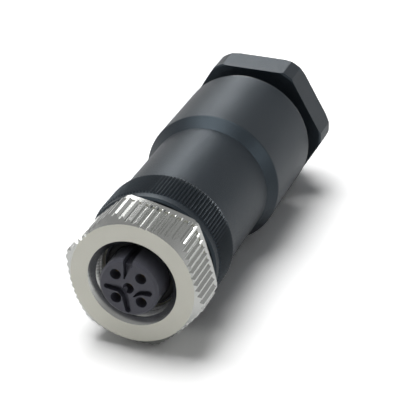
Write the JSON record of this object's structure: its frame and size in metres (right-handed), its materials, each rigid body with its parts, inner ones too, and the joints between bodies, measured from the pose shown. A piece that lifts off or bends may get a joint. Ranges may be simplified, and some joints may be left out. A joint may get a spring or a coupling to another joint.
{
  "type": "circular connector",
  "caption": "Field-wired M12 female cable connector: screwed coupling nut, A-coded insert, screw terminals, sleeve and cable gland.",
  "frame": {"origin": "centre of the insert's mating face", "axes": "+Y along the plug axis towards the cable, -Y out of the mating face, +Z through the coding groove, which is at the top"},
  "size_m": [0.0222, 0.0594, 0.0202],
  "materials": {
    "nickel": "satin nickel plate",
    "insert": "moulded",
    "gold": "gold plate",
    "terminal_brass": "nickel plate",
    "steel": "zinc plate",
    "black_nylon": "spark-eroded grain",
    "grey_nylon": "moulded",
    "seal_rubber": "matt"
  },
  "bodies": {
    "sleeve": {"housing_sleeve": "black_nylon", "gland_seal": "seal_rubber", "clamp_cage": "grey_nylon"},
    "seal_ring": {"housing_seal": "seal_rubber"},
    "carrier": {"contact_carrier": "insert", "socket_1": "gold", "socket_2": "gold", "socket_3": "gold", "socket_4": "gold", "socket_5": "gold", "terminal_1": "terminal_brass", "terminal_2": "terminal_brass", "terminal_3": "terminal_brass", "terminal_4": "terminal_brass", "terminal_5": "terminal_brass", "terminal_screws": "steel", "terminal_block": "grey_nylon", "interface_seal": "seal_rubber", "grip_ring": "black_nylon"},
    "nut": {"coupling_nut": "nickel"},
    "thrust": {"thrust_ring": "grey_nylon"},
    "gland": {"gland_nut": "black_nylon"}
  },
  "joints": [
    {"name": "carrier_travel", "type": "slide", "parent": "sleeve", "child": "seal_ring", "axis": [0, -1, 0], "range_m": [0, 0.00675]},
    {"name": "carrier_turn", "type": "hinge", "parent": "seal_ring", "child": "carrier", "pos_m": [0, 0.018, 0], "axis": [0, -1, 0], "range_deg": [0, 1620]},
    {"name": "coupling_nut_spin", "type": "hinge", "parent": "carrier", "child": "nut", "pos_m": [0, 0.0045, 0], "axis": [0, 1, 0], "continuous": true},
    {"name": "gland_travel", "type": "slide", "parent": "sleeve", "child": "thrust", "axis": [0, 1, 0], "range_m": [-0.0024, 0.0034]},
    {"name": "gland_turn", "type": "hinge", "parent": "thrust", "child": "gland", "pos_m": [0, 0.0545, 0], "axis": [0, 1, 0], "range_deg": [-612, 867]}
  ],
  "couplings": [
    {"joint": "carrier_travel", "follows": "carrier_turn", "m_per_rad": 0.00023873},
    {"joint": "gland_travel", "follows": "gland_turn", "m_per_rad": 0.00022457}
  ]
}
